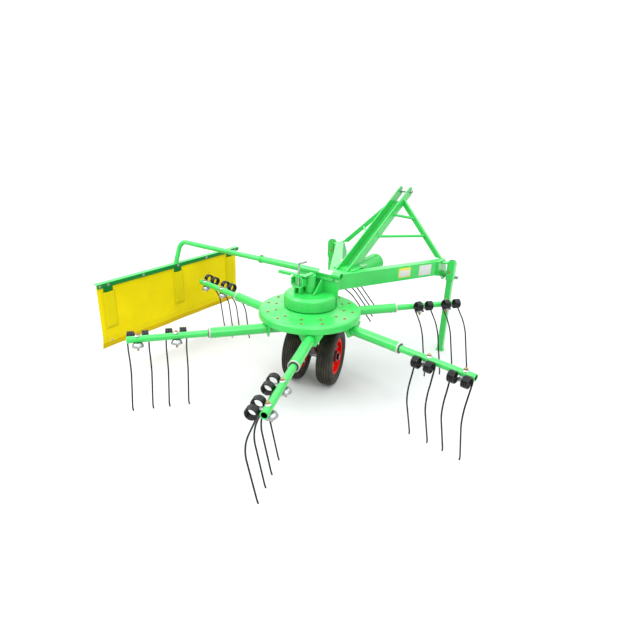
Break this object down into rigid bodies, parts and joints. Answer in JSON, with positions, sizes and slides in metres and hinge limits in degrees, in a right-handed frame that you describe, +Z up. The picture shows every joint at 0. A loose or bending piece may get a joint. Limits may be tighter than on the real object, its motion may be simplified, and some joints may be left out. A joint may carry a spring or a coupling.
{
  "type": "rotary hay rake",
  "caption": "Rotary hay rake for a three-point hitch: rotor with spring tines on cam-turned arms, twin castor wheels, side curtain and parking legs.",
  "frame": {"origin": "on the ground, under the middle of the machine's bounding box", "axes": "+Y towards the tractor, +X to the right-hand side, +Z up"},
  "size_m": [2.2022, 2.2641, 1.132],
  "materials": {
    "green_paint": "glossy bright green enamel",
    "dark_green_paint": "dark green enamel",
    "zinc_steel": "bright zinc plate",
    "black_spring_steel": "black enamelled spring steel",
    "white_plastic": "white bearing plastic",
    "yellow_sheet": "coated yellow sheet",
    "tyre_rubber": "ribbed black rubber",
    "red_rim": "glossy red enamel"
  },
  "bodies": {
    "frame": {"gear_housing": "green_paint", "centre_post": "green_paint", "front_plate": "green_paint", "sleeve_cradle": "green_paint", "curtain_sleeve": "green_paint", "setting_lever": "green_paint", "lock_bracket": "green_paint", "neck": "green_paint", "input_tube": "green_paint", "mast": "green_paint", "struts": "green_paint", "mast_ties": "green_paint", "beam_left": "green_paint", "beam_right": "green_paint", "link_bracket_left": "green_paint", "link_bracket_right": "green_paint", "centre_tube": "zinc_steel", "lock_pin": "zinc_steel", "input_shaft": "zinc_steel", "top_pin": "zinc_steel", "lower_pins": "zinc_steel"},
    "rotor": {"rotor_disc": "green_paint", "cam_case": "green_paint", "bearing_tubes": "green_paint", "arm_bushes": "white_plastic", "arm_brackets": "green_paint"},
    "castor": {"castor_fork": "zinc_steel"},
    "wheels": {"wheel_axle": "zinc_steel", "tyres": "tyre_rubber", "rims": "red_rim"},
    "curtain": {"curtain_tube": "green_paint", "curtain_rail": "green_paint", "curtain_stays": "dark_green_paint", "curtain_sheet": "yellow_sheet"},
    "leg_left": {"parking_leg_left": "green_paint"},
    "leg_right": {"parking_leg_right": "green_paint"},
    "arm_1": {"arm_tube_1": "green_paint", "tines_1": "black_spring_steel", "tine_clamps_1": "zinc_steel"},
    "arm_2": {"arm_tube_2": "green_paint", "tines_2": "black_spring_steel", "tine_clamps_2": "zinc_steel"},
    "arm_3": {"arm_tube_3": "green_paint", "tines_3": "black_spring_steel", "tine_clamps_3": "zinc_steel"},
    "arm_4": {"arm_tube_4": "green_paint", "tines_4": "black_spring_steel", "tine_clamps_4": "zinc_steel"},
    "arm_5": {"arm_tube_5": "green_paint", "tines_5": "black_spring_steel", "tine_clamps_5": "zinc_steel"},
    "arm_6": {"arm_tube_6": "green_paint", "tines_6": "black_spring_steel", "tine_clamps_6": "zinc_steel"}
  },
  "joints": [
    {"name": "rotor_turn", "type": "hinge", "parent": "frame", "child": "rotor", "pos_m": [0.07885, -0.16092, 0.527], "axis": [0, 0, 1], "continuous": true},
    {"name": "castor_swivel", "type": "hinge", "parent": "frame", "child": "castor", "pos_m": [0.07885, -0.16092, 0.4], "axis": [0, 0, 1], "continuous": true},
    {"name": "wheels_roll", "type": "hinge", "parent": "castor", "child": "wheels", "pos_m": [0.04676, -0.04115, 0.186], "axis": [0.9659, 0.2588, 0], "continuous": true},
    {"name": "curtain_slide", "type": "slide", "parent": "frame", "child": "curtain", "axis": [-1, 0, 0], "range_m": [0, 0.35]},
    {"name": "leg_left_slide", "type": "slide", "parent": "frame", "child": "leg_left", "axis": [0, 0, 1], "range_m": [0, 0.3]},
    {"name": "leg_right_slide", "type": "slide", "parent": "frame", "child": "leg_right", "axis": [0, 0, 1], "range_m": [0, 0.3]},
    {"name": "arm_1_turn", "type": "hinge", "parent": "rotor", "child": "arm_1", "pos_m": [0.14749, -0.13607, 0.462], "axis": [-0.3404, 0.9403, 0], "range_deg": [0, 60]},
    {"name": "arm_2_turn", "type": "hinge", "parent": "rotor", "child": "arm_2", "pos_m": [0.09165, -0.08905, 0.462], "axis": [-0.9845, 0.1754, 0], "range_deg": [0, 60]},
    {"name": "arm_3_turn", "type": "hinge", "parent": "rotor", "child": "arm_3", "pos_m": [0.02301, -0.1139, 0.462], "axis": [-0.6441, -0.7649, 0], "range_deg": [-27, 33]},
    {"name": "arm_4_turn", "type": "hinge", "parent": "rotor", "child": "arm_4", "pos_m": [0.01021, -0.18577, 0.462], "axis": [0.3404, -0.9403, 0], "range_deg": [-50, 10]},
    {"name": "arm_5_turn", "type": "hinge", "parent": "rotor", "child": "arm_5", "pos_m": [0.06605, -0.23279, 0.462], "axis": [0.9845, -0.1754, 0], "range_deg": [-22, 38]},
    {"name": "arm_6_turn", "type": "hinge", "parent": "rotor", "child": "arm_6", "pos_m": [0.13469, -0.20794, 0.462], "axis": [0.6441, 0.7649, 0], "range_deg": [0, 60]}
  ]
}
